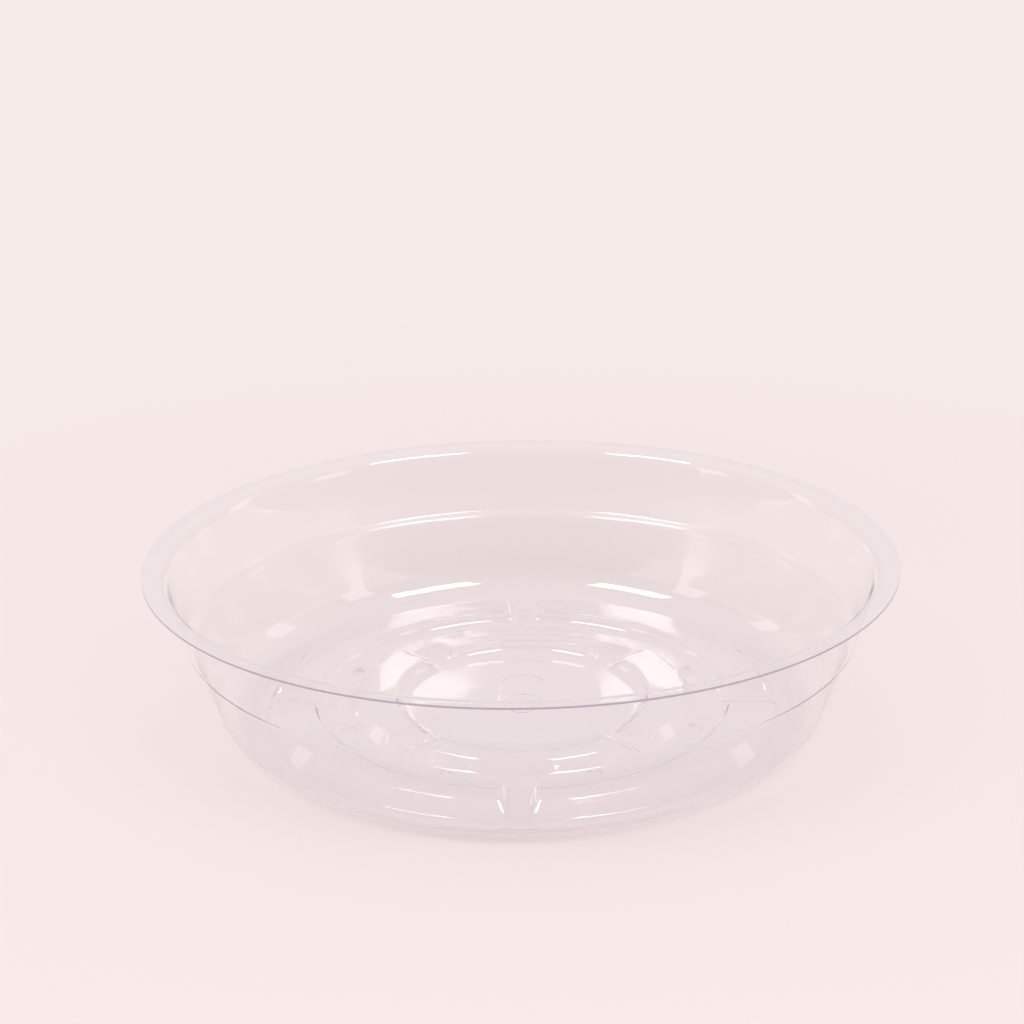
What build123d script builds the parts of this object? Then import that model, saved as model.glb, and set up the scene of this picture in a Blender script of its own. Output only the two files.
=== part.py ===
# Clear plant saucer for a 6 inch pot: one thin sheet of clear plastic, drawn over a mould.
# The rim turns out flat, the wall steps in once on its way down, and two rings stand up from
# the floor to hold a pot clear of the water. Notches let the water run through both rings.
# Origin at the centre of the foot, on the ground. +Z is up and is the axis of the saucer.
# All lengths are in millimetres and all angles in degrees.
import os
from math import radians, sqrt, tan

from build123d import *

os.makedirs("parts", exist_ok=True)

# The sheet and the whole saucer
sheet = 0.4
height = 36.5
rim_radius = 81.0

# The mouth, where the flat rim bends down into the wall
mouth_radius = 76.2
mouth_bend = 3.0

# The wall: an upper and a lower stretch with a small step between them
upper_taper = 14.7
lower_taper = 17.2
step_depth = 15.45
step_width = 1.3
step_drop = 1.2
step_bend = 1.8
corner_bend = 9.2

# The foot, and how far the channel and the disc stay clear of the ground
foot_width = 1.4
floor_rise = 0.85

# The two rings that carry the pot: their sides towards the axis are the steeper ones
ring_height = 3.9
crest_width = 8.2
channel_width = 6.9
inward_draft = 12.0
outward_draft = 36.0
crest_bend = 0.6
inward_toe_bend = 2.5
outward_toe_bend = 1.0

# The notches in each ring; those of the inner ring stand between those of the outer one
notch_count = 4
notch_rise = 0.1
outer_notch_top = 7.6
outer_notch_bottom = 4.4
outer_notch_bend = 2.0
inner_notch_top = 8.2
inner_notch_bottom = 3.4
inner_notch_bend = 1.0

# Small domes in the channel, nearer to the inner ring
dome_count = 8
dome_radius = 1.9
dome_height = 1.3
dome_gap = 2.1

# A plain size figure on the disc, raised like a low plateau, in shares of the disc's radius
figure_rise = 0.3
figure_stroke = 2.6
figure_width_share = 0.39
figure_height_share = 0.84
figure_place_share = 0.10
bowl_height_share = 0.54
hook_height_share = 0.27

# How far a shape that cuts or trims runs past what it cuts
overrun = 1.0

# Heights of the upper face above the ground
foot_level = sheet
floor_level = sheet + floor_rise
crest_level = foot_level + ring_height
notch_level = floor_level + notch_rise
step_level = height - step_depth

# Radii of the upper face, from the mouth inwards
upper_wall_foot = mouth_radius - (height - step_level) * tan(radians(upper_taper))
lower_wall_top = upper_wall_foot - step_width
lower_wall_rise = step_level - step_drop - foot_level
lower_wall_foot = lower_wall_top - lower_wall_rise * tan(radians(lower_taper))
corner_run = corner_bend * tan(radians(90 - lower_taper) / 2)
outward_slope = tan(radians(outward_draft))
inward_run = (crest_level - floor_level) * tan(radians(inward_draft))
outer_toe = lower_wall_foot - corner_run - foot_width
outer_crest_outside = outer_toe - (crest_level - foot_level) * outward_slope
outer_crest_inside = outer_crest_outside - crest_width
channel_outside = outer_crest_inside - inward_run
channel_inside = channel_outside - channel_width
inner_crest_outside = channel_inside - (crest_level - floor_level) * outward_slope
inner_crest_inside = inner_crest_outside - crest_width
disc_radius = inner_crest_inside - inward_run

# Corners of the upper face from the axis out to the rim, each with the radius of its bend
first_corner = (0, floor_level)
bent_corners = [
    (disc_radius, floor_level, inward_toe_bend),
    (inner_crest_inside, crest_level, crest_bend),
    (inner_crest_outside, crest_level, crest_bend),
    (channel_inside, floor_level, outward_toe_bend),
    (channel_outside, floor_level, inward_toe_bend),
    (outer_crest_inside, crest_level, crest_bend),
    (outer_crest_outside, crest_level, crest_bend),
    (outer_toe, foot_level, outward_toe_bend),
    (lower_wall_foot, foot_level, corner_bend),
    (lower_wall_top, step_level - step_drop, step_bend + sheet),
    (upper_wall_foot, step_level, step_bend),
    (mouth_radius, height, mouth_bend),
]
last_corner = (rim_radius, height)


def upper_face_line():
    """The upper face of the sheet in section, from the axis to the edge of the rim."""
    corners = [first_corner, *[(radius, level) for radius, level, bend in bent_corners], last_corner]
    return FilletPolyline(*corners, radius=[bend for radius, level, bend in bent_corners])


def notch_bar(depth, ends, widths, bend):
    """A notch along +X as a solid bar, whose sides and floor lie depth inside the sheet."""
    inside, outside = ends
    bottom_width, top_width = widths
    flare = (top_width - bottom_width) / 2 / (crest_level - notch_level)
    floor_half = bottom_width / 2 + depth * (sqrt(1 + flare * flare) - flare)
    lid_level = crest_level + overrun
    lid_half = floor_half + (lid_level - notch_level + depth) * flare
    with BuildPart() as bar:
        with BuildSketch(Plane.YZ.offset(inside)):
            with BuildLine():
                FilletPolyline(
                    (-lid_half, lid_level),
                    (-floor_half, notch_level - depth),
                    (floor_half, notch_level - depth),
                    (lid_half, lid_level),
                    radius=bend + depth,
                )
                Line((lid_half, lid_level), (-lid_half, lid_level))
            make_face()
        extrude(amount=outside - inside)
    return bar.part


def outer_notch(depth):
    """A notch through the outer ring, from the channel to the foot."""
    ends = (channel_outside - inward_toe_bend, outer_toe + overrun)
    return notch_bar(depth, ends, (outer_notch_bottom, outer_notch_top), outer_notch_bend)


def inner_notch(depth):
    """A notch through the inner ring, from the disc to the channel."""
    ends = (disc_radius - inward_toe_bend, channel_inside + overrun)
    return notch_bar(depth, ends, (inner_notch_bottom, inner_notch_top), inner_notch_bend)


def channel_dome(depth):
    """The ball whose top is one small dome, with its surface depth inside the sheet."""
    ball_radius = (dome_radius**2 + dome_height**2) / (2 * dome_height)
    with BuildPart() as ball:
        with Locations((channel_inside + dome_gap, 0, floor_level + dome_height - ball_radius)):
            Sphere(ball_radius - depth)
    return ball.part


def figure_outline(drawn_in):
    """The figure 6: a tall loop open at its right, closed by a shorter loop, drawn in all round."""
    width = figure_width_share * disc_radius
    tall = figure_height_share * disc_radius
    bowl = bowl_height_share * tall
    middle = figure_place_share * disc_radius
    hook_end = middle + tall / 2 - hook_height_share * tall
    bowl_middle = middle - tall / 2 + bowl / 2
    with Locations((0, middle)):
        SlotOverall(tall, width, rotation=90)
        SlotOverall(tall - 2 * figure_stroke, width - 2 * figure_stroke, rotation=90, mode=Mode.SUBTRACT)
    with Locations((0, bowl_middle)):
        Rectangle(width, hook_end - bowl_middle, align=(Align.MIN, Align.MIN), mode=Mode.SUBTRACT)
        SlotOverall(bowl, width, rotation=90)
        SlotOverall(bowl - 2 * figure_stroke, width - 2 * figure_stroke, rotation=90, mode=Mode.SUBTRACT)
    if drawn_in:
        offset(amount=-drawn_in)


# The space over the sheet, which trims what is let into the sheet from below
with BuildPart() as space_above:
    with BuildSketch(Plane.XZ):
        with BuildLine():
            upper_face_line()
            Polyline(last_corner, (rim_radius, height + overrun), (0, height + overrun), first_corner)
        make_face()
    revolve(axis=Axis.Z)

outer_trough = outer_notch(sheet) - space_above.part
inner_trough = inner_notch(sheet) - space_above.part
dome_shell = channel_dome(0) & space_above.part
outer_turns = PolarLocations(0, notch_count)
inner_turns = PolarLocations(0, notch_count, start_angle=180 / notch_count)
dome_turns = PolarLocations(0, dome_count, start_angle=180 / dome_count)

with BuildPart() as saucer:
    with BuildSketch(Plane.XZ):
        with BuildLine():
            upper_face_line()
            offset(amount=sheet, side=Side.RIGHT)
        make_face()
    revolve(axis=Axis.Z)
    # Each notch and dome is first added as a full shape, then hollowed to the sheet's thickness
    with outer_turns:
        add(outer_trough)
        add(outer_notch(0), mode=Mode.SUBTRACT)
    with inner_turns:
        add(inner_trough)
        add(inner_notch(0), mode=Mode.SUBTRACT)
    with dome_turns:
        add(dome_shell)
        add(channel_dome(sheet), mode=Mode.SUBTRACT)
    with BuildSketch(Plane.XY.offset(floor_level)):
        figure_outline(0)
    extrude(amount=figure_rise)
    with BuildSketch(Plane.XY.offset(floor_rise)):
        figure_outline(sheet)
    extrude(amount=figure_rise, mode=Mode.SUBTRACT)

saucer.part.label = "saucer"
export_step(saucer.part, "parts/saucer.step")
print("saucer", round(saucer.part.volume, 1), "mm3,", len(saucer.part.solids()), "solid")
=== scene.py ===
# %% [markdown]
# # A clear plant saucer
# The object is one thin sheet of clear vinyl, softened by heat and drawn over a mould. Its rim
# turns out flat, its wall has one small step, and two notched rings stand up from its floor.
# This lesson builds it in cells: first the frame, then the sheet's shape by a rule, then the
# clear plastic, and last the table, the lamps and the camera. All lengths are in metres, so a
# size in millimetres is written as a number times mm.

# %% The frame
from math import ceil, pi, radians, sin, tan

import bpy
from mathutils import Euler, Matrix, Vector


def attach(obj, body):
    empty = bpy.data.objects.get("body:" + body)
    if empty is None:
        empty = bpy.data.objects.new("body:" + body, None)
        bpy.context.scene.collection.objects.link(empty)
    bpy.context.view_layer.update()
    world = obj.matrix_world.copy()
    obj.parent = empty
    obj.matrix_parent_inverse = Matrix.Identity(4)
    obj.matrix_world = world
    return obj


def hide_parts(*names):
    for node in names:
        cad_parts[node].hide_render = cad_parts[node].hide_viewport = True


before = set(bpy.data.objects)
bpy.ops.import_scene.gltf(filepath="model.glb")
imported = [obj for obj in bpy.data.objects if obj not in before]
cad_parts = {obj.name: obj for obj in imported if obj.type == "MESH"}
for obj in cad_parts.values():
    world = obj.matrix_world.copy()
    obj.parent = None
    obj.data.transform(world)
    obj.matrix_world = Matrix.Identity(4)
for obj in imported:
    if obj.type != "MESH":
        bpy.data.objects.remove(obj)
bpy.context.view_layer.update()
mm = 0.001

# %% [markdown]
# ## Sizes of the saucer
# These are the sizes that the real sheet is described by: how wide and tall it is, how its wall
# leans, and how wide and tall each ring is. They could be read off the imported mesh, but a
# mesh holds only corners, and a rule needs the sizes themselves. So they are written here once,
# and each radius below is worked out from the rim inwards.

# %% Sizes of the section
sheet = 0.4 * mm
height = 36.5 * mm
rim_radius = 81.0 * mm
mouth_radius = 76.2 * mm
mouth_bend = 3.0 * mm
upper_taper = radians(14.7)
lower_taper = radians(17.2)
step_depth = 15.45 * mm
step_width = 1.3 * mm
step_drop = 1.2 * mm
step_bend = 1.8 * mm
corner_bend = 9.2 * mm
foot_width = 1.4 * mm
floor_rise = 0.85 * mm
ring_height = 3.9 * mm
crest_width = 8.2 * mm
channel_width = 6.9 * mm
inward_draft = radians(12)
outward_draft = radians(36)
crest_bend = 0.6 * mm
inward_toe_bend = 2.5 * mm
outward_toe_bend = 1.0 * mm

# %% Levels and radii of the upper face
foot_level = sheet
floor_level = sheet + floor_rise
crest_level = foot_level + ring_height
notch_floor = floor_level + 0.1 * mm
step_level = height - step_depth

upper_wall_foot = mouth_radius - (height - step_level) * tan(upper_taper)
lower_wall_top = upper_wall_foot - step_width
lower_wall_foot = lower_wall_top - (step_level - step_drop - foot_level) * tan(lower_taper)
corner_start = lower_wall_foot - corner_bend * tan((pi / 2 - lower_taper) / 2)
outward_slope = tan(outward_draft)
inward_run = (crest_level - floor_level) * tan(inward_draft)
outer_toe = corner_start - foot_width
outer_crest_outside = outer_toe - ring_height * outward_slope
outer_crest_inside = outer_crest_outside - crest_width
channel_outside = outer_crest_inside - inward_run
channel_inside = channel_outside - channel_width
inner_crest_outside = channel_inside - (crest_level - floor_level) * outward_slope
inner_crest_inside = inner_crest_outside - crest_width
disc_radius = inner_crest_inside - inward_run
print("disc radius", round(disc_radius / mm, 2), "mm")
print("outer toe", round(outer_toe / mm, 2), "mm")

# %% [markdown]
# ## The section line
# Cut the saucer through its axis and its upper face is one line: flat disc, ring, channel, ring,
# foot, wall, step, wall and rim. A lathe or a screw modifier could turn any drawn line, but a
# line worked out from corners and bends stays exact when a size changes. Each corner is rounded
# by an arc, and straight runs get a point close to each end, because a smooth-shaded face that
# runs straight into a bend would otherwise show a false curve along its whole length.

# %% Bends and runs of the line
patch_radius = 15.5 * mm
arc_gap = 0.7 * mm
arc_turn = radians(16)
end_gap = 0.3 * mm
floor_gap = 1.5 * mm
wall_gap = 6.0 * mm

# Each corner's radius, its level and the radius of its bend
corners = [
    (patch_radius, floor_level, 0),
    (disc_radius, floor_level, inward_toe_bend),
    (inner_crest_inside, crest_level, crest_bend),
    (inner_crest_outside, crest_level, crest_bend),
    (channel_inside, floor_level, outward_toe_bend),
    (channel_outside, floor_level, inward_toe_bend),
    (outer_crest_inside, crest_level, crest_bend),
    (outer_crest_outside, crest_level, crest_bend),
    (outer_toe, foot_level, outward_toe_bend),
    (lower_wall_foot, foot_level, corner_bend),
    (lower_wall_top, step_level - step_drop, step_bend + sheet),
    (upper_wall_foot, step_level, step_bend),
    (mouth_radius, height, mouth_bend),
    (rim_radius, height, 0),
]


def bend_points(before, corner, after, bend):
    """Points along the arc that rounds one corner of the line."""
    back = (before - corner).normalized()
    ahead = (after - corner).normalized()
    half = back.angle(ahead) / 2
    middle = corner + (back + ahead).normalized() * bend / sin(half)
    start = corner + back * bend / tan(half) - middle
    turn = -start.angle_signed(corner + ahead * bend / tan(half) - middle)
    steps = ceil(max(abs(turn) / arc_turn, abs(turn) * bend / arc_gap))
    return [middle + Matrix.Rotation(turn * step / steps, 2) @ start for step in range(steps + 1)]


def run_points(start, end, gap):
    """Points inside a straight run: one near each end and even ones between them."""
    length = (end - start).length
    if length < 2.5 * end_gap:
        return []
    steps = ceil((length - 2 * end_gap) / gap)
    spots = [end_gap + (length - 2 * end_gap) * step / steps for step in range(steps + 1)]
    return [start.lerp(end, spot / length) for spot in spots]


def section_line():
    """The upper face in section, from the edge of the disc's patch to the edge of the rim."""
    places = [Vector((radius, level)) for radius, level, bend in corners]
    line = [places[0]]
    for number in range(1, len(corners)):
        if number < len(corners) - 1:
            bend = corners[number][2]
            arc = bend_points(places[number - 1], places[number], places[number + 1], bend)
        else:
            arc = [places[number]]
        gap = wall_gap if arc[0].y > crest_level else floor_gap
        line += run_points(line[-1], arc[0], gap) + arc
    return line


line = section_line()
mould_line = bpy.data.meshes.new("mould_line")
points = [(spot.x, 0, spot.y) for spot in line]
links = [(number, number + 1) for number in range(len(line) - 1)]
mould_line.from_pydata(points, links, [])
saucer = bpy.data.objects.new("saucer_sheet", mould_line)
bpy.context.scene.collection.objects.link(saucer)
print("section line of", len(line), "points")

# %% [markdown]
# ## Writing nodes as sums
# A rule with many steps is hard to read as dozens of lines that add and link nodes. The small
# class below wraps one output socket and takes the usual signs, so `radius - middle` adds a Math
# node and gives back its result. One method adds any other node, with its settings set first and
# then its sockets. The same class serves the sheet's shape and its plastic.


# %% A wire that can be added, multiplied and compared
class Wire:
    """One output socket of a node, in a tree, on which sums can be written."""

    def __init__(self, tree, socket):
        self.tree = tree
        self.socket = socket

    def node(self, kind, settings, values, output=0):
        """Adds a node to this wire's tree and gives one of its outputs."""
        return add_node(self.tree, kind, settings, values, output)

    def sibling(self, name):
        """Another output of the node that this wire comes from."""
        return Wire(self.tree, self.socket.node.outputs[name])

    def math(self, operation, *others):
        """This wire and up to two others through one Math node."""
        values = dict(enumerate([self, *others]))
        return self.node("ShaderNodeMath", {"operation": operation}, values)

    def __add__(self, other):
        return self.math("ADD", other)

    def __sub__(self, other):
        return self.math("SUBTRACT", other)

    def __mul__(self, other):
        return self.math("MULTIPLY", other)

    def __truediv__(self, other):
        return self.math("DIVIDE", other)

    def __gt__(self, other):
        return self.math("GREATER_THAN", other)

    def __lt__(self, other):
        return self.math("LESS_THAN", other)

    def __neg__(self):
        return self.math("MULTIPLY", -1)

    def __abs__(self):
        return self.math("ABSOLUTE")

    def __rsub__(self, other):
        return self.node("ShaderNodeMath", {"operation": "SUBTRACT"}, {0: other, 1: self})

    __radd__ = __add__


def add_node(tree, kind, settings, values, output=0):
    """Adds one node: its settings first, then the value or the wire of each socket."""
    node = tree.nodes.new(kind)
    for name, setting in settings.items():
        setattr(node, name, setting)
    for name, value in values.items():
        if isinstance(value, Wire):
            tree.links.new(value.socket, node.inputs[name])
        else:
            node.inputs[name].default_value = value
    return Wire(tree, node.outputs[output])


# %% [markdown]
# ## A tree with named sizes
# The sheet is made by a Geometry Nodes tree. Its sizes could be typed into the nodes, but named
# inputs show in the modifier, where a designer can try other values. The helper below adds one
# input for each size, and the modifier's values are set by each input's own identifier.


# %% Named inputs
def new_tree(name, sizes):
    """A Geometry Nodes tree that takes a geometry and the named sizes."""
    tree = bpy.data.node_groups.new(name, "GeometryNodeTree")
    tree.interface.new_socket("Geometry", in_out="INPUT", socket_type="NodeSocketGeometry")
    tree.interface.new_socket("Geometry", in_out="OUTPUT", socket_type="NodeSocketGeometry")
    for size, value in sizes.items():
        kind = "NodeSocketInt" if isinstance(value, int) else "NodeSocketFloat"
        tree.interface.new_socket(size, in_out="INPUT", socket_type=kind)
    start = tree.nodes.new("NodeGroupInput")
    return tree, {socket.name: Wire(tree, socket) for socket in start.outputs if socket.name}


def set_sizes(modifier, sizes):
    """Sets each named input of the modifier's tree."""
    for item in modifier.node_group.interface.items_tree:
        if item.in_out == "INPUT" and item.name in sizes:
            modifier[item.identifier] = sizes[item.name]


# %% [markdown]
# ## Round the axis
# On the real mould the line above is turned on a lathe. Here a grid is bent round instead, with
# one row of it for each point of the line and one column for each station round the axis, because
# a grid keeps its faces in order for the notches that come later. The notches stand at every
# eighth of a turn, so the stations are crowded there by two sine waves. A grid bent to a point
# would pinch its faces at the axis, so the middle of the disc is a square grid pushed into a
# circle, whose edge has just as many points as there are stations.

# %% Sizes that the tree takes
quarter_cells = 88
eighths = 8
sizes = {
    "Quarter Cells": quarter_cells,
    "Patch Radius": patch_radius,
    "Disc Level": floor_level,
    "Crowding": 0.30,
    "Fine Crowding": 0.33,
    "Merge Gap": 0.02 * mm,
    "Channel Middle": (channel_inside + channel_outside) / 2,
    "Corner Start": corner_start,
    "Outer Notch Floor": notch_floor,
    "Outer Notch Half": 2.2 * mm,
    "Outer Notch Flare": 0.542,
    "Outer Notch Bend": 2.0 * mm,
    "Inner Notch Floor": notch_floor,
    "Inner Notch Half": 1.7 * mm,
    "Inner Notch Flare": 0.814,
    "Inner Notch Bend": 1.0 * mm,
    "Lip Bend": 0.45 * mm,
    "Dome Place": channel_inside + 2.1 * mm,
    "Dome Top": floor_level + 1.3 * mm,
    "Dome Ball": 2.04 * mm,
    "Dome Bend": 0.25 * mm,
    "Figure Rise": 0.3 * mm,
    "Figure Edge": 0.4 * mm,
    "Figure Middle": 2.7 * mm,
    "Figure Height": 22.7 * mm,
    "Figure Width": 10.5 * mm,
    "Figure Stroke": 2.6 * mm,
    "Bowl Height": 12.2 * mm,
    "Hook Height": 6.1 * mm,
}
tree, size = new_tree("formed_sheet", sizes)


# %% The grid turned round the axis
def on_circle(radius, angle, level, crowd=1):
    """A place at a radius, an angle and a level, with its angle drawn towards the notches."""
    coarse = (angle * eighths).math("SINE") * size["Crowding"] / eighths
    fine = (angle * (2 * eighths)).math("SINE") * size["Fine Crowding"] / (2 * eighths)
    drawn = angle - (coarse + fine) * crowd
    values = {"X": radius * drawn.math("COSINE"), "Y": radius * drawn.math("SINE"), "Z": level}
    return drawn.node("ShaderNodeCombineXYZ", {}, values)


def turned_grid(tree, size):
    """The section line carried round the axis, one grid row for each of its points."""
    profile = size["Geometry"]
    rows = add_node(tree, "GeometryNodeAttributeDomainSize", {}, {"Geometry": profile})
    stations = size["Quarter Cells"] * 4
    counts = {"Size X": 1.0, "Size Y": 1.0, "Vertices X": rows, "Vertices Y": stations + 1}
    grid = add_node(tree, "GeometryNodeMeshGrid", {}, counts)
    index = add_node(tree, "GeometryNodeInputIndex", {}, {})
    row = (index / (stations + 1)).math("FLOOR")
    angle = (index - row * (stations + 1)) / stations * (2 * pi)
    position = add_node(tree, "GeometryNodeInputPosition", {}, {})
    values = {"Geometry": profile, "Value": position, "Index": row}
    spot = add_node(tree, "GeometryNodeSampleIndex", {"data_type": "FLOAT_VECTOR"}, values)
    across = add_node(tree, "ShaderNodeSeparateXYZ", {}, {"Vector": spot})
    place = on_circle(across, angle, across.sibling("Z"))
    return add_node(tree, "GeometryNodeSetPosition", {}, {"Geometry": grid, "Position": place})


def disc_patch(tree, size):
    """A square grid pushed into a circle, for the middle of the disc."""
    cells = size["Quarter Cells"]
    counts = {"Size X": 2.0, "Size Y": 2.0, "Vertices X": cells + 1, "Vertices Y": cells + 1}
    grid = add_node(tree, "GeometryNodeMeshGrid", {}, counts)
    position = add_node(tree, "GeometryNodeInputPosition", {}, {})
    x = add_node(tree, "ShaderNodeSeparateXYZ", {}, {"Vector": position})
    y = x.sibling("Y")
    sideways = abs(x) > abs(y)
    upright = 1 - sideways
    reach = x * sideways + y * upright
    angle = y / x * (pi / 4) * sideways + (pi / 2 - x / y * (pi / 4)) * upright
    place = on_circle(reach * size["Patch Radius"], angle, size["Disc Level"], reach * reach)
    return add_node(tree, "GeometryNodeSetPosition", {}, {"Geometry": grid, "Position": place})


both = tree.nodes.new("GeometryNodeJoinGeometry")
for part in (turned_grid(tree, size), disc_patch(tree, size)):
    tree.links.new(part.socket, both.inputs["Geometry"])
values = {"Geometry": Wire(tree, both.outputs[0]), "Distance": size["Merge Gap"]}
blank_sheet = add_node(tree, "GeometryNodeMergeByDistance", {}, values)
print("grid of", len(line), "rows and", 4 * quarter_cells, "stations")

# %% [markdown]
# ## Notches, domes and the size figure
# A notch lets water run through a ring. It could be cut by a boolean, but a formed sheet has no
# cut edges: the hot sheet sinks into the mould and every edge comes out soft. So the level of
# each point is worked out instead. A notch is a flat floor with flared sides, and the sheet takes
# the smooth minimum of that and of its own level. A dome is the smooth maximum with a ball, and
# the figure on the disc, a plain 6, is a band around two rounded slots.

# %% Where a point of the sheet lies
position = add_node(tree, "GeometryNodeInputPosition", {}, {})
x = add_node(tree, "ShaderNodeSeparateXYZ", {}, {"Vector": position})
y = x.sibling("Y")
level = x.sibling("Z")
radius = (x * x + y * y).math("SQRT")
angle = y.math("ARCTAN2", x)
far_up = 1.0


def notch_level(name, first_turn, absent):
    """The floor and the flared sides of the notches of one ring, and far up where absent is 1."""
    fold = (angle - first_turn).math("PINGPONG", pi / 4)
    side = radius * fold.math("SINE") - size[name + " Notch Half"]
    flared = size[name + " Notch Floor"] + side / size[name + " Notch Flare"]
    rounded = flared.math("SMOOTH_MAX", size[name + " Notch Floor"], size[name + " Notch Bend"])
    return rounded + absent * far_up


def dome_level():
    """The top of the ball under each small dome of the channel."""
    fold = (angle - pi / 8).math("PINGPONG", pi / 8)
    along = radius * fold.math("COSINE") - size["Dome Place"]
    aside = radius * fold.math("SINE")
    ball = size["Dome Ball"]
    inside = ball * ball - along * along - aside * aside
    rise = inside.math("MAXIMUM", 0.0).math("SQRT")
    return size["Dome Top"] - ball + rise - (inside < 0.0) * far_up


# %% The figure on the disc
def slot_band(middle, tall):
    """How far a point is outside the stroke of an upright slot, below zero inside the stroke."""
    half_width = (size["Figure Width"] - size["Figure Stroke"]) / 2
    half_run = (tall - size["Figure Width"]) / 2
    beyond = (abs(y - middle) - half_run).math("MAXIMUM", 0.0)
    outline = (x * x + beyond * beyond).math("SQRT") - half_width
    return abs(outline) - size["Figure Stroke"] / 2


def figure_level():
    """How far the sheet rises at the figure: a tall loop open at its right and a closed bowl."""
    middle = size["Figure Middle"]
    foot = middle - size["Figure Height"] / 2
    bowl_middle = foot + size["Bowl Height"] / 2
    hook_end = middle + size["Figure Height"] / 2 - size["Hook Height"]
    gap_half = (hook_end - bowl_middle) / 2
    in_gap = x.math("MINIMUM", gap_half - abs(y - bowl_middle - gap_half))
    loop = slot_band(middle, size["Figure Height"]).math("MAXIMUM", in_gap)
    nearest = loop.math("MINIMUM", slot_band(bowl_middle, size["Bowl Height"]))
    half_edge = size["Figure Edge"] / 2
    values = {
        "Value": nearest,
        "From Min": half_edge,
        "From Max": -half_edge,
        "To Max": size["Figure Rise"],
    }
    return nearest.node("ShaderNodeMapRange", {"interpolation_type": "SMOOTHSTEP"}, values)


# %% The level of every point
outer_absent = (radius < size["Channel Middle"]) + (radius > size["Corner Start"])
inner_absent = radius > size["Channel Middle"]
formed = level.math("SMOOTH_MIN", notch_level("Outer", 0.0, outer_absent), size["Lip Bend"])
formed = formed.math("SMOOTH_MIN", notch_level("Inner", pi / 4, inner_absent), size["Lip Bend"])
formed = formed.math("SMOOTH_MAX", dome_level(), size["Dome Bend"])
formed = formed + figure_level()
place = add_node(tree, "ShaderNodeCombineXYZ", {}, {"X": x, "Y": y, "Z": formed})
values = {"Geometry": blank_sheet, "Position": place}
drawn_sheet = add_node(tree, "GeometryNodeSetPosition", {}, values)
print("rule of", len(tree.nodes), "nodes")

# %% [markdown]
# ## The end of the tree and the thickness
# The tree ends by shading the faces smooth, making any instances real and naming the plastic.
# The underside could be a second grid, but the real one is simply the other face of the same
# sheet, so a Solidify modifier gives the sheet its thickness downwards. The result is copied to a
# plain mesh, and both modifiers go. The cut round the rim is the only sharp edge.

# %% Finish the tree and make the sheet
clear_vinyl = bpy.data.materials.new("clear_vinyl")
smooth_sheet = add_node(tree, "GeometryNodeSetShadeSmooth", {}, {"Geometry": drawn_sheet})
real_sheet = add_node(tree, "GeometryNodeRealizeInstances", {}, {"Geometry": smooth_sheet})
values = {"Geometry": real_sheet, "Material": clear_vinyl}
finished = add_node(tree, "GeometryNodeSetMaterial", {}, values)
end = tree.nodes.new("NodeGroupOutput")
tree.links.new(finished.socket, end.inputs["Geometry"])

forming = saucer.modifiers.new("forming", "NODES")
forming.node_group = tree
set_sizes(forming, sizes)
thickness = saucer.modifiers.new("thickness", "SOLIDIFY")
thickness.thickness = sheet
thickness.offset = -1
thickness.use_even_offset = True

seen = saucer.evaluated_get(bpy.context.evaluated_depsgraph_get())
sheet_mesh = bpy.data.meshes.new_from_object(seen)
saucer.modifiers.clear()
saucer.data = sheet_mesh
sharpest_bend = radians(60)
sheet_mesh.set_sharp_from_angle(angle=sharpest_bend)
triangles = sum(len(face.vertices) - 2 for face in sheet_mesh.polygons)
print("sheet of", len(sheet_mesh.vertices), "points and", triangles, "triangles")

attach(saucer, "root")
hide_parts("saucer")

# %% [markdown]
# ## Clear vinyl
# The plastic is clear and glossy. The sheet was drawn over a mould, which leaves soft waves
# everywhere and fine marks round the wall near its step, so its gloss isn't even. The waves could
# be modelled, but they are far smaller than a face, so they are written as noise on Object
# coordinates that feeds a Bump node, and the marks are a noise that is stretched along the wall.


# %% Waves and marks of the forming
def fade(value, start, end):
    """0 at the start and short of it, 1 at the end and past it, with a soft run between them."""
    values = {"Value": value, "From Min": start, "From Max": end, "To Max": 1.0}
    return value.node("ShaderNodeMapRange", {"interpolation_type": "SMOOTHSTEP"}, values)


clear_vinyl.use_nodes = True
net = clear_vinyl.node_tree
net.nodes.clear()

place = add_node(net, "ShaderNodeTexCoord", {}, {}, "Object")
across = add_node(net, "ShaderNodeSeparateXYZ", {}, {"Vector": place})
along = across.sibling("Y")
up = across.sibling("Z")
waves = add_node(net, "ShaderNodeTexNoise", {}, {"Vector": place, "Scale": 90.0, "Detail": 1.0})
grain = add_node(net, "ShaderNodeTexNoise", {}, {"Vector": place, "Scale": 900.0, "Detail": 3.0})
smudge = add_node(net, "ShaderNodeTexNoise", {}, {"Vector": place, "Scale": 38.0, "Detail": 4.0})
mark_scale = (60.0, 60.0, 2600.0)
values = {0: place, 1: mark_scale}
stretched = add_node(net, "ShaderNodeVectorMath", {"operation": "MULTIPLY"}, values)
marks = add_node(net, "ShaderNodeTexNoise", {}, {"Vector": stretched, "Scale": 1.0, "Detail": 2.0})
near_step = fade(abs(up - step_level), 11 * mm, 3 * mm)
wave_height = 0.14 * mm
grain_height = 0.002 * mm
mark_height = 0.012 * mm
relief = waves * wave_height + grain * grain_height + marks * near_step * mark_height
bump = add_node(net, "ShaderNodeBump", {}, {"Height": relief, "Distance": 1.0, "Strength": 1.0})
print("relief of", len(net.nodes), "nodes")
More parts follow.
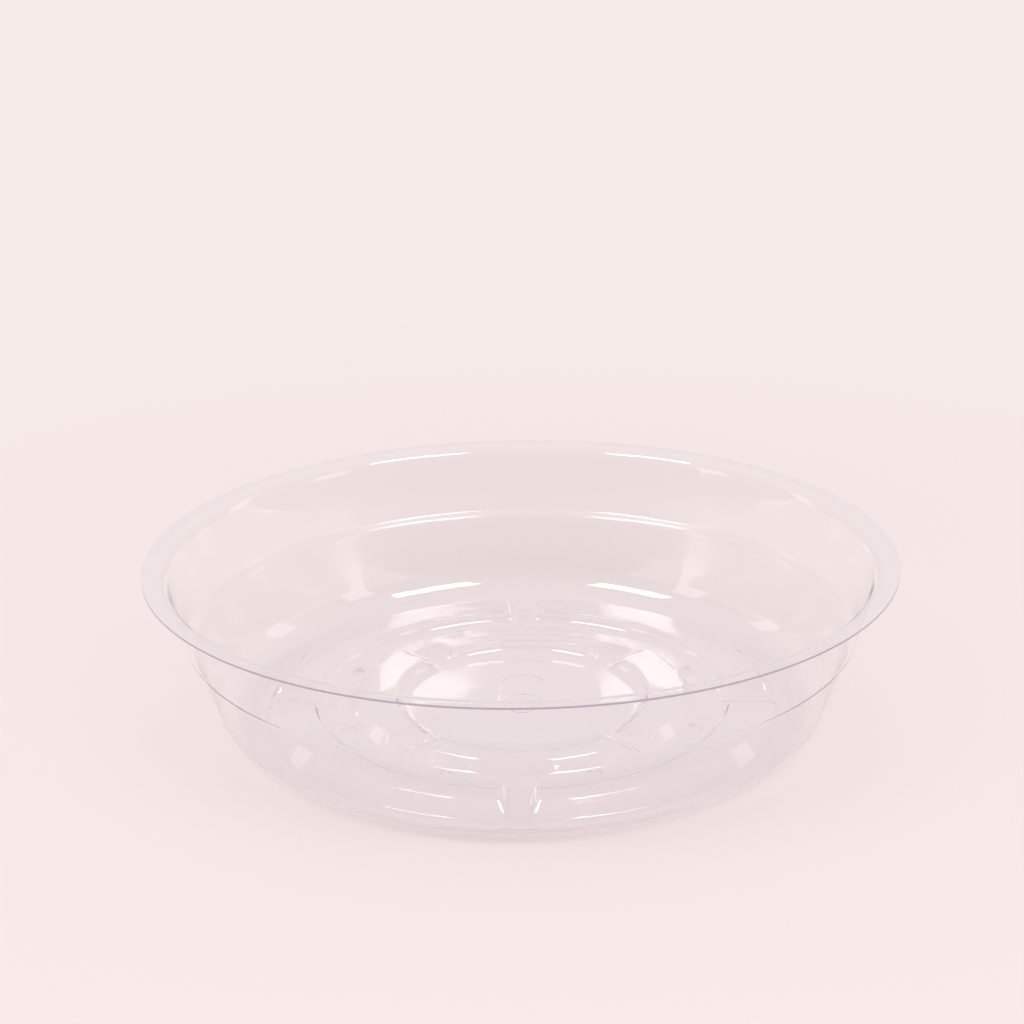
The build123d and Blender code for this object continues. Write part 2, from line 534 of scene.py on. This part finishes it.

# %% [markdown]
# ## The body that is seen through
# A thin sheet with two parallel faces hardly bends what is seen through it. Solid glass could stand
# for it, but a sheet this thin traps light at its tight bends and shows heavy dark lines there. So
# the body bends light very weakly, and a little more round the size figure, whose outline would be
# lost. The lower wall gets a painted shade: its colour is a little darker than the rest.

# %% The see-through body
plain_tint = (0.982, 0.976, 0.984, 1.0)
# Painted shade: the colour of the lower wall is made darker than the rest of the sheet.
lower_wall_painted_shade = (0.948, 0.934, 0.942, 1.0)
lower_wall_middle = 13 * mm
on_lower_wall = fade(abs(up - lower_wall_middle), 10 * mm, 4 * mm)
values = {0: on_lower_wall, 6: plain_tint, 7: lower_wall_painted_shade}
tint_and_painted_shade = add_node(net, "ShaderNodeMix", {"data_type": "RGBA"}, values, 2)
least_roughness = 0.03
smudge_roughness = 0.08
gloss = least_roughness + smudge * grain * smudge_roughness


def clear_body(index):
    """A clear plastic that bends light by its index."""
    values = {"Base Color": tint_and_painted_shade, "Roughness": gloss, "IOR": index, "Transmission Weight": 1.0}
    return add_node(net, "ShaderNodeBsdfPrincipled", {}, values)


from_axis = (across * across + along * along).math("SQRT")
round_figure = fade(from_axis, 16 * mm, 14.5 * mm)
weak_index = 1.014
figure_index = 1.04
values = {0: round_figure, 1: clear_body(weak_index), 2: clear_body(figure_index)}
see_through = add_node(net, "ShaderNodeMixShader", {}, values)
print("body of", len(net.nodes), "nodes")

# %% [markdown]
# ## The mirror and the cut edge
# The plastic mirrors a little of the room, more where it is met edge on. A coat over the body could
# do that, but it would stay smooth where the sheet is wavy. A mirror of its own, mixed in by a
# factor that grows towards edge on, takes the waves and marks too. It works on the outer side
# alone, so that light inside the sheet isn't caught. At the cut round the rim, light that ran
# along inside the sheet is painted as a thin violet grey line, seen from outside only.

# %% The mirror and the cut edge
mark_roughness = 0.14
values = {
    "Base Color": (1.0, 1.0, 1.0, 1.0),
    "Metallic": 1.0,
    "Roughness": gloss + near_step * mark_roughness,
    "Normal": bump,
}
mirror = add_node(net, "ShaderNodeBsdfPrincipled", {}, values)
outer_side = 1 - add_node(net, "ShaderNodeNewGeometry", {}, {}, "Backfacing")
edge_on = add_node(net, "ShaderNodeLayerWeight", {}, {"Blend": 0.5}, "Facing")
mirrored_head_on = 0.08
rise_to_edge_on = edge_on.math("POWER", 3.5) * (1 - mirrored_head_on)
mirrored = (mirrored_head_on + rise_to_edge_on) * outer_side
values = {0: mirrored, 1: see_through, 2: mirror}
skin = add_node(net, "ShaderNodeMixShader", {}, values)

# Painted light: this violet grey colour stands for the light that comes out of the cut edge.
values = {"Base Color": (0.60, 0.48, 0.62, 1.0), "Roughness": 0.4}
cut_face_painted_light = add_node(net, "ShaderNodeBsdfPrincipled", {}, values)
edge_depth = 0.02 * mm
at_edge = from_axis > rim_radius - edge_depth
values = {0: at_edge * outer_side, 1: skin, 2: cut_face_painted_light}
body = add_node(net, "ShaderNodeMixShader", {}, values)
print("plastic of", len(net.nodes), "nodes")

# %% [markdown]
# ## A pane for the light
# Lamps shine through the sheet onto the table, and the table's own light comes back up through it.
# Bent light like that is slow to find by chance and comes out as grainy spots. So for shadow rays,
# and for light that the table has scattered, the plastic is swapped for a plain clear pane. It is
# mixed with a dark one by part of the mirror's factor, because the sheet sends only some of what it
# mirrors away from the table.


# %% The pane
def show(net, shader, kind="ShaderNodeOutputMaterial"):
    """Links a shader to the output of its tree."""
    output = net.nodes.new(kind)
    net.links.new(shader.socket, output.inputs["Surface"])


lost_share = 0.4
values = {"Color": (0.99, 0.985, 0.99, 1.0)}
clear_pane = add_node(net, "ShaderNodeBsdfTransparent", {}, values)
dark_pane = add_node(net, "ShaderNodeBsdfTransparent", {}, {"Color": (0.0, 0.0, 0.0, 1.0)})
values = {0: mirrored * lost_share, 1: clear_pane, 2: dark_pane}
pane = add_node(net, "ShaderNodeMixShader", {}, values)
shadow_ray = add_node(net, "ShaderNodeLightPath", {}, {}, "Is Shadow Ray")
unseen = shadow_ray.math("MAXIMUM", shadow_ray.sibling("Diffuse Depth") > 0.5)
surface = add_node(net, "ShaderNodeMixShader", {}, {0: unseen, 1: body, 2: pane})
show(net, surface)
print("material of", len(net.nodes), "nodes")

# %% [markdown]
# ## The table
# A clear thing is seen by what it mirrors and bends, so what stands round it matters as much as
# the plastic. The table is a wide sheet of pale paper that fills the whole picture. Near the
# saucer it is lit by the lamps and keeps the saucer's shadow. Far from it the lamps reach it less,
# so there it shows the paper's own colour to the eye, also through the plastic or as its mirror
# image.

# %% The table
paper_colour = (0.93, 0.83, 0.82, 1.0)
table_size = 14.0
table_mesh = bpy.data.meshes.new("table")
half = table_size / 2
table_corners = [(-half, -half, 0), (half, -half, 0), (half, half, 0), (-half, half, 0)]
table_mesh.from_pydata(table_corners, [], [(0, 1, 2, 3)])
table = bpy.data.objects.new("table", table_mesh)
bpy.context.scene.collection.objects.link(table)


# %% Its paper
def is_seen(net):
    """1 for a ray from the eye, mirrored or bent on its way but not yet scattered."""
    path = add_node(net, "ShaderNodeLightPath", {}, {}, "Is Camera Ray")
    bent = path.sibling("Is Transmission Ray").math("MAXIMUM", path.sibling("Is Glossy Ray"))
    return path.math("MAXIMUM", bent) * (path.sibling("Diffuse Depth") < 0.5)


pale_paper = bpy.data.materials.new("pale_paper")
pale_paper.use_nodes = True
net = pale_paper.node_tree
net.nodes.clear()
place = add_node(net, "ShaderNodeTexCoord", {}, {}, "Object")
distance = add_node(net, "ShaderNodeVectorMath", {"operation": "LENGTH"}, {0: place}, "Value")
lit_reach = 0.12
plain_reach = 0.36
far = fade(distance, lit_reach, plain_reach)
values = {"Base Color": paper_colour, "Roughness": 0.8, "Specular IOR Level": 0.1}
lit_paper = add_node(net, "ShaderNodeBsdfPrincipled", {}, values)
plain_paper = add_node(net, "ShaderNodeEmission", {}, {"Color": paper_colour, "Strength": 1.0})
values = {0: far * is_seen(net), 1: lit_paper, 2: plain_paper}
paper = add_node(net, "ShaderNodeMixShader", {}, values)
show(net, paper)
table_mesh.materials.append(pale_paper)

# %% [markdown]
# ## The room
# The room is what the plastic mirrors. A room of one brightness would make its walls vanish, and
# the real ones show a little darker than the paper. So this room is dim near the ground and in
# front, and brighter overhead and behind. The eye itself sees paper all round.

# %% The room
room = bpy.data.worlds.new("room")
room.use_nodes = True
bpy.context.scene.world = room
net = room.node_tree
net.nodes.clear()
direction = add_node(net, "ShaderNodeTexCoord", {}, {}, "Generated")
behind = add_node(net, "ShaderNodeSeparateXYZ", {}, {"Vector": direction}, "Y")
overhead = behind.sibling("Z")
level_light = 0.385
light_overhead = 0.31
light_behind = 0.30
strength = level_light + overhead * light_overhead + behind * light_behind
values = {"Color": (1.0, 0.97, 0.96, 1.0), "Strength": strength}
room_light = add_node(net, "ShaderNodeBackground", {}, values)
paper_light = add_node(net, "ShaderNodeBackground", {}, {"Color": paper_colour, "Strength": 1.0})
path = add_node(net, "ShaderNodeLightPath", {}, {}, "Is Camera Ray")
unscattered = path.sibling("Diffuse Depth") < 0.5
beheld = path.math("MAXIMUM", path.sibling("Is Transmission Ray")) * unscattered
sky = add_node(net, "ShaderNodeMixShader", {}, {0: beheld, 1: room_light, 2: paper_light})
show(net, sky, "ShaderNodeOutputWorld")

# %% [markdown]
# ## Lamps
# Two soft boxes stand in front, one to each side: the bright lines on the bends of the far wall
# and rings are their mirror images, which is how their directions and widths were found. The lines
# aren't quite alike, so the lamps aren't either. Tall dim strips at the sides stand for windows:
# they leave the soft upright bars on the walls at left and right.

# %% The lamps
lamp_distance = 3.0
lamp_rise = radians(50.5)


def soft_box(name, turn, rise, width, tall, radiance):
    """A rectangular lamp that faces the saucer from a direction and a rise above the table."""
    lamp = bpy.data.lights.new(name, "AREA")
    lamp.shape = "RECTANGLE"
    lamp.size = width
    lamp.size_y = tall
    lamp.energy = radiance * width * tall * pi
    placed = bpy.data.objects.new(name, lamp)
    bpy.context.scene.collection.objects.link(placed)
    towards = Euler((pi / 2 - rise, 0, pi - turn)).to_matrix() @ Vector((0, 0, 1))
    placed.location = towards * lamp_distance
    placed.rotation_euler = Euler((pi / 2 - rise, 0, pi - turn))
    placed.visible_camera = False
    print(name, "at", [round(value, 2) for value in placed.location])


soft_box("lamp_right", radians(134.7), lamp_rise, width=1.46, tall=0.58, radiance=8.9)
soft_box("lamp_left", radians(-123.6), lamp_rise, width=1.37, tall=0.58, radiance=8.9)
for side, hand in (("right", 1), ("left", -1)):
    front, back = hand * radians(109), hand * radians(68)
    front_rise, back_rise = radians(19), radians(16)
    soft_box("front_window_" + side, front, front_rise, width=0.60, tall=1.1, radiance=1.1)
    soft_box("back_window_" + side, back, back_rise, width=0.50, tall=1.4, radiance=0.8)

# %% [markdown]
# ## Camera
# The camera looks down at the saucer by about nineteen degrees from a little under half a metre
# away, with a slight tilt. Its place and lens were worked out from the shape of the rim's ellipse
# and of the rings below it.

# %% The camera
camera_data = bpy.data.cameras.new("camera")
camera = bpy.data.objects.new("camera", camera_data)
bpy.context.scene.collection.objects.link(camera)
bpy.context.scene.camera = camera
picture_width = 1024
focal_pixels = 2100
camera_data.sensor_width = 36.0
camera_data.lens = camera_data.sensor_width * focal_pixels / picture_width
camera_turn = radians(0.9)
look_down = radians(19.262)
look_aside = radians(0.226)
tilt = radians(-0.818)
turned = Euler((pi / 2 - look_down, 0, look_aside)).to_matrix() @ Matrix.Rotation(tilt, 3, "Z")
camera_place = (0, -426.2 * mm, 194.5 * mm)
placed = Matrix.Translation(camera_place) @ turned.to_4x4()
camera.matrix_world = Matrix.Rotation(camera_turn, 4, "Z") @ placed
bpy.context.scene.view_settings.view_transform = "Standard"
print("lens", round(camera_data.lens, 2), "mm")
